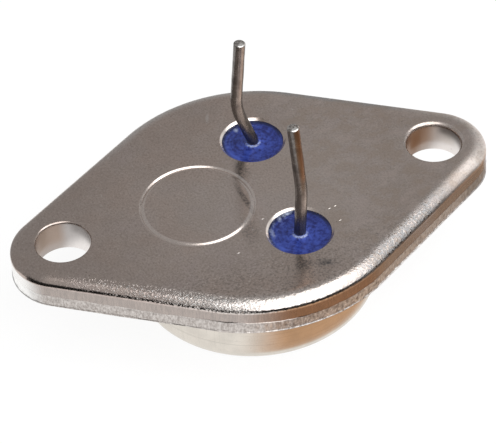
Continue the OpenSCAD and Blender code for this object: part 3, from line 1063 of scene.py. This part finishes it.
class TRANSISTOR_OT_plate(Operator):
    """Stamps the plate, with its holes, its ring mark and its edge"""

    bl_idname = "transistor.plate"
    bl_label = "Stamped Plate"

    def execute(self, context):
        sizes = context.scene.transistor_plate
        mesh, layers = plate_mesh()
        outline = Outline(sizes.middle_radius, sizes.end_radius, sizes.hole_spacing / 2)
        arris_z = edge_section(mesh, sizes, layers)
        sweep_outline(mesh, outline)
        tear_wall(mesh, sizes, outline, layers, arris_z - PLATE_LOW.z)
        join(mesh, screw_hole(sizes, -outline.hole_x, sizes.left_rim))
        join(mesh, screw_hole(sizes, outline.hole_x, sizes.right_rim))
        for node in ("base_glass_seal", "emitter_glass_seal"):
            join(mesh, seal_hole(sizes, *round_box(node)))
        join(mesh, ring_mark(sizes, *round_box("heat_spreader")))
        for height in (PLATE_HIGH.z, PLATE_LOW.z):
            bmesh.ops.triangle_fill(mesh, edges=open_edges(mesh, height), use_beauty=True, normal=Z_AXIS)
        finish = PlateFinish(context.scene.transistor_colours).build()
        piece("stamped_plate", mesh, finish, "nickel_plate", "header_plate")
        return {"FINISHED"}


class TRANSISTOR_OT_can(Operator):
    """Draws the can, with its welded lip"""

    bl_idname = "transistor.can"
    bl_label = "Drawn Can"

    def execute(self, context):
        sizes = context.scene.transistor_can
        mesh = bmesh.new()
        top, lip = CAN_TOP.z, CAN_TOP.x
        inside = sizes.radius - sizes.wall
        under = top - sizes.lip_thickness
        points = [
            (0, sizes.crown_thickness),
            (inside, sizes.crown_thickness),
            (inside, top),
            (lip, top),
            (lip, under),
            (sizes.radius, under),
            (sizes.radius, 0),
            (0, 0),
        ]
        rounded = [
            (1, sizes.crown_radius - sizes.wall, 6),
            (3, 0.08 * MM, 5),
            (4, 0.16 * MM, 6),
            (5, sizes.lip_fillet, 6),
            (6, sizes.crown_radius, 12),
        ]
        circle_profile(mesh, [(radius, 0, z) for radius, z in points], rounded)
        upright = [edge for edge in mesh.edges if edge.calc_length() > 2 * MM]
        bmesh.ops.subdivide_edges(mesh, edges=upright, cuts=7)
        turn(mesh, (0, 0, 0), CAN_STEPS)
        piece("drawn_can", mesh, bright_can(context.scene.transistor_colours), "can_metal", "can")
        return {"FINISHED"}


class TRANSISTOR_OT_beads(Operator):
    """Melts the two glass beads into the plate"""

    bl_idname = "transistor.beads"
    bl_label = "Glass Beads"

    def execute(self, context):
        sizes = context.scene.transistor_beads
        pin = context.scene.transistor_pins.radius
        finish = blue_glass(context.scene.transistor_colours)
        for name in RIM_HIGHLIGHTS:
            self.bead(sizes, pin, finish, name)
        return {"FINISHED"}

    def bead(self, sizes, pin, finish, name):
        """Makes one bead between its hole and its pin."""
        low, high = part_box(f"{name}_glass_seal")
        middle, hole = round_box(f"{name}_glass_seal")
        collar, level = pin + sizes.collar_width, high.z - sizes.collar_height
        mesh = bmesh.new()
        swirl = mesh.verts.layers.float_vector.new("swirl")
        inner, collar_highlight, pale_left_reflection, dark, rim_highlight = (mesh.verts.layers.float.new(mark) for mark in BEAD_MARKS)
        profile = [
            (pin, low.z),
            (pin, high.z),
            (pin + sizes.collar_width * 0.22, high.z - sizes.collar_height * 0.35),
            (pin + sizes.collar_width * 0.5, high.z - sizes.collar_height * 0.75),
            (collar, level),
            (mix(collar, hole, 0.35), level - 0.015 * MM),
            (mix(collar, hole, 0.7), level - 0.01 * MM),
            *((hole - inset * MM, level + sizes.rim_climb * climbed) for inset, climbed in BEAD_RIM),
            (hole, low.z),
            (pin, low.z),
        ]
        circle_profile(mesh, [(middle.x + radius, middle.y, z) for radius, z in profile])
        turn(mesh, (middle.x, middle.y, 0), SEAL_STEPS)
        for vert in mesh.verts:
            spoke = vert.co - middle
            angle, radius = math.atan2(spoke.y, spoke.x), spoke.xy.length
            vert[swirl] = Vector((math.cos(angle) * SWIRL_RADIUS, math.sin(angle) * SWIRL_RADIUS, radius))
            out, rim = (radius - pin) / MM, (hole - radius) / MM
            front, left = ramp(math.cos(angle + 1.75), -0.3, 0.6), ramp(math.cos(angle - 3.1), 0.5, 0.95)
            back, far = ramp(math.cos(angle - 2.2), 0.2, 0.9), ramp(math.cos(angle - 1.7), -0.7, 0.2)
            # Marks by direction and radius: lighter glass round the pin, a painted highlight on the front of
            # the collar, a painted reflection along the left rim, painted highlight specks near the far left
            # rim, and painted shade along the far rim.
            vert[inner] = 1 - ramp(out, 0, 0.75)
            vert[collar_highlight] = front * ramp(out, 0, 0.08) * (1 - ramp(out, 0.08, 0.22))
            vert[pale_left_reflection] = left * ramp(rim, 0.5, 0.25) * (rim > 0.1)
            vert[rim_highlight] = back * ramp(rim, 0.6, 0.3) * RIM_HIGHLIGHTS[name]
            vert[dark] = far * ramp(rim, 0.4, 0.08)
            if out > 0.01 and vert.co.z > middle.z and rim > 0.02:
                vert.co.z += WAVE_HEIGHT * noise.noise(vert.co / WAVE_WIDTH)
        piece(f"{name}_glass_bead", mesh, finish, "seal_glass", f"{name}_glass_seal")


class TRANSISTOR_OT_pins(Operator):
    """Draws, heads, bends and cuts the two pins"""

    bl_idname = "transistor.pins"
    bl_label = "Bent Pins"

    def execute(self, context):
        sizes = context.scene.transistor_pins
        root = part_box("base_glass_seal")[1].z - PIN_FOOT
        finish = drawn_pin(context.scene.transistor_colours, root)
        for name, reflection_strength in BROWN_REFLECTION_STRENGTH.items():
            self.pin(sizes, finish, name, reflection_strength)
        return {"FINISHED"}

    def pin(self, sizes, finish, name, reflection_strength):
        """Makes one pin, from its bonding head inside the can to its cut end."""
        bends = ("lean", "lower", "bend", "return")
        lean, lower, radius, back = (getattr(sizes, f"{name}_{bend}") for bend in bends)
        place = round_box(f"{name}_glass_seal")[0].xy.to_3d()
        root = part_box(f"{name}_glass_seal")[1].z
        mesh = bmesh.new()
        straight = mesh.verts.layers.float_vector.new("straight")
        cut_and_highlight, warm = (mesh.verts.layers.float.new(mark) for mark in ("cut_and_highlight", "warm"))
        made = bmesh.ops.create_circle(mesh, cap_ends=True, segments=PIN_STEPS, radius=sizes.head_radius)
        bmesh.ops.translate(mesh, verts=made["verts"], vec=(0, 0, PIN_FOOT))
        for vert in made["verts"]:
            vert[straight] = Vector((vert.co.x, vert.co.y, 0))
        wire = Wire(mesh, mesh.edges[:], straight, Vector((0, 0, PIN_FOOT)))
        wire.run(sizes.head_thickness, 2)
        wire.widen(sizes.head_radius, sizes.radius, 0)
        for vert in {vert for edge in wire.ring for vert in edge.verts}:
            vert[straight] = Vector((vert.co.x, vert.co.y, wire.length))
        wire.run(root - PIN_FOOT - sizes.head_thickness, 10)
        wire.bend(lean, sizes.root_bend, 6)
        wire.run(lower, 10)
        wire.bend(back - lean, radius, 20)
        wire.run(mount_size(f"{name}_lead", "length_mm") * MM, 28)
        shank = set(mesh.verts)
        wire.widen(sizes.radius, sizes.radius - sizes.cut_bevel, sizes.cut_bevel, 2)
        cut = bmesh.ops.edgeloop_fill(mesh, edges=wire.ring)["faces"]
        bmesh.ops.inset_region(mesh, faces=cut, thickness=0.06 * MM, depth=0)
        bmesh.ops.inset_region(mesh, faces=cut, thickness=0.12 * MM, depth=-0.02 * MM)
        # Painted brown reflection on the +X side of the wire near its cut end.
        upper = wire.length - BROWN_REFLECTION_LENGTH
        for vert in mesh.verts:
            here = vert[straight]
            vert[warm] = reflection_strength * ramp(here.x / sizes.radius, 0, 0.8) * ramp(here.z, upper, upper + MM)
        # The cut end, with its mark rising to 1 where the painted highlight crescent lies.
        for vert in set(mesh.verts) - shank:
            here = vert[straight].xy / sizes.radius
            vert[cut_and_highlight] = mix(0.4, 1, ramp(here.x * 0.4 - here.y * 0.9, 0.55, 0.85))
        self.dent(mesh, straight, root - PIN_FOOT)
        bmesh.ops.rotate(mesh, verts=mesh.verts, matrix=Matrix.Rotation(sizes.bend_plane, 3, "Z"))
        bmesh.ops.translate(mesh, verts=mesh.verts, vec=place)
        piece(f"bent_{name}_pin", mesh, finish, "pin_metal", f"{name}_pin")

    def dent(self, mesh, straight, root):
        """Gives the free length of the wire slight flats and waves, as pliers and handling leave."""
        for vert in mesh.verts:
            here = vert[straight]
            if here.z > root + 0.3 * MM:
                out = Vector((here.x, here.y, 0)).normalized()
                wave = noise.noise(Vector((here.x * 0.8, here.y * 0.8, here.z)) / DENT_WIDTH)
                vert.co += out * wave * DENT_DEPTH


class TRANSISTOR_OT_inside(Operator):
    """Finishes the pieces inside the can"""

    bl_idname = "transistor.inside"
    bl_label = "Inner Pieces"

    def execute(self, context):
        middle, half = (size / MM for size in round_box("silicon_die"))
        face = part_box("silicon_die")[0].z / MM
        copper = satin_metal("satin_copper", (0.80, 0.42, 0.26), (0.62, 0.28, 0.16), 0.3, 0.9)
        braze = satin_metal("silver_braze", (0.78, 0.74, 0.62), (0.62, 0.56, 0.44), 0.35, 0.4)
        solder = satin_metal("dull_solder", (0.55, 0.55, 0.57), (0.38, 0.38, 0.40), 0.45, 0.35)
        drawn = (1, 1, 0.2)
        aluminium = satin_metal("aluminium_wire", (0.86, 0.86, 0.87), (0.7, 0.7, 0.72), 0.28, 0.2, drawn)
        finishes = {
            "heat_spreader": copper,
            "spreader_braze": braze,
            "die_solder": solder,
            "silicon_die": silicon_chip(middle, 2 * half, face),
            "emitter_bond_wires": aluminium,
            "base_bond_wire": aluminium,
        }
        for node, finish in finishes.items():
            data = frame["nodes"][node].data
            data.materials.clear()
            data.materials.append(finish)
        return {"FINISHED"}


class TRANSISTOR_OT_stage(Operator):
    """Sets the floor, the cards, the lamps, the room and the camera"""

    bl_idname = "transistor.stage"
    bl_label = "Studio"

    def execute(self, context):
        studio = context.scene.transistor_studio
        self.floor()
        self.card("warm_card", studio.card_colour)
        self.flag("black_flag", (29, 60), 33, -180, 167, 0.015)
        self.flag("grey_backing", (30, 120), 22, 40, 125, 0.36)
        self.room(context.scene, studio)
        self.lamp("key_lamp", studio.key_radiance, (0.215, -0.50, 0.84), (0.40, 0.31))
        self.lamp("fill_lamp", studio.fill_radiance, (-0.62, -0.45, 0.64), (0.12, 0.28))
        self.lamp("side_lamp", studio.side_radiance, (0.62, -0.2, 0.76), (0.14, 0.22))
        self.camera(context.scene, studio)
        context.scene.view_settings.view_transform = "Standard"
        return {"FINISHED"}

    def stage_piece(self, name, mesh, finish, reflected=False):
        """Makes a stage object of a mesh. A reflected one shows in reflections alone."""
        made = new_object(name, mesh, finish.material)
        if reflected:
            made.visible_camera = made.visible_diffuse = made.visible_shadow = False
            made.visible_transmission = made.visible_volume_scatter = False

    def seen(self, finish):
        """1 for the rays that show a background: camera, glossy and transmission."""
        outs = ("Is Camera Ray", "Is Glossy Ray", "Is Transmission Ray")
        camera, glossy, through = (finish.node("ShaderNodeLightPath", out=out) for out in outs)
        return camera.most(glossy).most(through)

    def floor(self):
        """White floor: it shows as white and keeps a faint shadow."""
        mesh = bmesh.new()
        bmesh.ops.create_circle(mesh, cap_ends=True, segments=64, radius=1.5)
        bmesh.ops.translate(mesh, verts=mesh.verts, vec=(0, 0, -0.02 * MM))
        finish = Finish("white_floor")
        paper = finish.grain(finish.place(), 3, detail=3)
        tone = finish.blend(paper, (0.80, 0.80, 0.80), (0.84, 0.84, 0.84))
        lit = finish.node("ShaderNodeBsdfDiffuse", {}, {"Color": tone})
        faint = finish.node("ShaderNodeBsdfDiffuse", {}, {"Color": (0.14, 0.14, 0.14, 1)})
        shown = finish.node("ShaderNodeAddShader", {}, {0: faint, 1: finish.glow(WHITE, 0.9)})
        finish.show(finish.either(self.seen(finish), lit, shown))
        self.stage_piece("floor", mesh, finish)

    def card(self, name, colour):
        """Warm card flat on the floor at the front right, faded at its left and back. It glows, and shows only
        in reflections.
        """
        mesh = bmesh.new()
        bmesh.ops.create_grid(mesh, x_segments=8, y_segments=8, size=0.5)
        bmesh.ops.scale(mesh, verts=mesh.verts, vec=(52 * MM, 60 * MM, 1))
        bmesh.ops.translate(mesh, verts=mesh.verts, vec=(20 * MM, -10 * MM, -0.01 * MM))
        finish = Finish(name)
        here = finish.place()
        x, y, _ = finish.split(here)
        near = y * -1
        front = near.step(5.2, 7.2).most(x.step(17.5, 19.5) * near.step(-6, -1))
        side = (x * 0.59 - y * 0.8).step(3.5, 7) * x.step(-6.5, 0)
        edge = front * side * finish.length(here).step(9.9, 10.9)
        fade = finish.grain(here, 12)
        tone = finish.coat(colour, (fade, tint(colour, 0.8)), (x.step(8, 20) * 0.7, tint(colour, 0.55)))
        clear = finish.node("ShaderNodeBsdfTransparent")
        finish.show(finish.either(edge, clear, finish.glow(tone, 1.0)))
        self.stage_piece(name, mesh, finish, reflected=True)

    def flag(self, name, reach, height, start, sweep, radiance):
        """Screen curved around the part: it lies on the floor over its reach and stands up at the end of it. It
        glows dimly, and shows only in reflections.
        """
        mesh = bmesh.new()
        out = Matrix.Rotation(math.radians(start), 3, "Z") @ X_AXIS * MM
        vert = mesh.verts.new(out * reach[0])
        vert = line(mesh, vert, out * (reach[1] - reach[0]), 4)
        line(mesh, vert, Z_AXIS * height * MM)
        spin(mesh, section(mesh), SCREEN_STEPS, angle=math.radians(sweep))
        finish = Finish(name)
        finish.show(finish.glow(WHITE, radiance))
        self.stage_piece(name, mesh, finish, reflected=True)

    def room(self, scene, studio):
        """Grey room, lighter low at the right. The camera sees it as white."""
        world = bpy.data.worlds.new("room")
        world.use_nodes = True
        scene.world = world
        finish = Finish("room", world.node_tree)
        right, back, up = finish.split(finish.node("ShaderNodeTexCoord", out="Generated"))
        camera = finish.node("ShaderNodeLightPath", out="Is Camera Ray")
        low = (1 - up.step(0.25, 0.5)) * right.step(0.35, 0.85) * (1 - back.step(0.3, 0.6))
        strength = camera + (1 - camera) * (studio.room_radiance + low * 0.35)
        inputs = {"Color": finish.paint(WHITE), "Strength": strength}
        finish.show(finish.node("ShaderNodeBackground", {}, inputs), "ShaderNodeOutputWorld")

    def lamp(self, name, radiance, way, size):
        """Soft rectangular lamp in a direction from the part, facing it."""
        light = bpy.data.lights.new(name, "AREA")
        light.shape, light.size, light.size_y = "RECTANGLE", *size
        light.energy = math.pi * radiance * math.prod(size)
        made = bpy.data.objects.new(name, light)
        way = Vector(way).normalized()
        made.location = way * LAMP_DISTANCE
        made.rotation_euler = way.to_track_quat("Z", "Y").to_euler()
        bpy.context.collection.objects.link(made)

    def camera(self, scene, studio):
        """Camera at the viewing angle, aimed at the plate's pin side."""
        a, e, roll = studio.azimuth, studio.elevation, studio.roll
        back = Vector((math.sin(a) * math.cos(e), -math.cos(a) * math.cos(e), math.sin(e)))
        level = Vector((math.cos(a), math.sin(a), 0))
        right = level * math.cos(roll) + back.cross(level) * math.sin(roll)
        up = back.cross(right)
        data = bpy.data.cameras.new("camera")
        data.sensor_fit, data.sensor_width, data.lens = "HORIZONTAL", SENSOR_WIDTH, studio.lens
        data.shift_x, data.shift_y = LENS_SHIFT
        data.clip_start, data.clip_end = CAMERA_REACH
        made = bpy.data.objects.new("camera", data)
        place = back * studio.distance - right * studio.slide[0] - up * studio.slide[1]
        turned = Matrix((right, up, back)).transposed().to_4x4()
        made.matrix_world = Matrix.Translation(place + Vector((0, 0, PLATE_HIGH.z))) @ turned
        scene.collection.objects.link(made)
        scene.camera = made


class TRANSISTOR_PT_panel(Panel):
    """Lists the steps that build the transistor"""

    bl_idname = "TRANSISTOR_PT_panel"
    bl_label = "Power Transistor"
    bl_space_type = "VIEW_3D"
    bl_region_type = "UI"
    bl_category = "Transistor"

    def draw(self, context):
        for step in STEPS:
            self.layout.operator(step.bl_idname)


GROUPS = {
    "transistor_plate": PlateSizes,
    "transistor_can": CanSizes,
    "transistor_beads": BeadSizes,
    "transistor_pins": PinSizes,
    "transistor_colours": Colours,
    "transistor_studio": Studio,
}
STEPS = (
    TRANSISTOR_OT_stage,
    TRANSISTOR_OT_plate,
    TRANSISTOR_OT_can,
    TRANSISTOR_OT_beads,
    TRANSISTOR_OT_pins,
    TRANSISTOR_OT_inside,
)


def register():
    """Registers the settings, the operators and the panel."""
    for cls in (*GROUPS.values(), *STEPS, TRANSISTOR_PT_panel):
        bpy.utils.register_class(cls)
    for name, cls in GROUPS.items():
        setattr(bpy.types.Scene, name, PointerProperty(type=cls))


def unregister():
    """Removes them again."""
    for name in GROUPS:
        delattr(bpy.types.Scene, name)
    for cls in reversed((*GROUPS.values(), *STEPS, TRANSISTOR_PT_panel)):
        bpy.utils.unregister_class(cls)


def main():
    """Builds everything."""
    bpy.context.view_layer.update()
    register()
    bpy.ops.transistor.stage()
    bpy.ops.transistor.plate()
    bpy.ops.transistor.can()
    bpy.ops.transistor.beads()
    bpy.ops.transistor.pins()
    bpy.ops.transistor.inside()


if __name__ == "__main__":
    main()
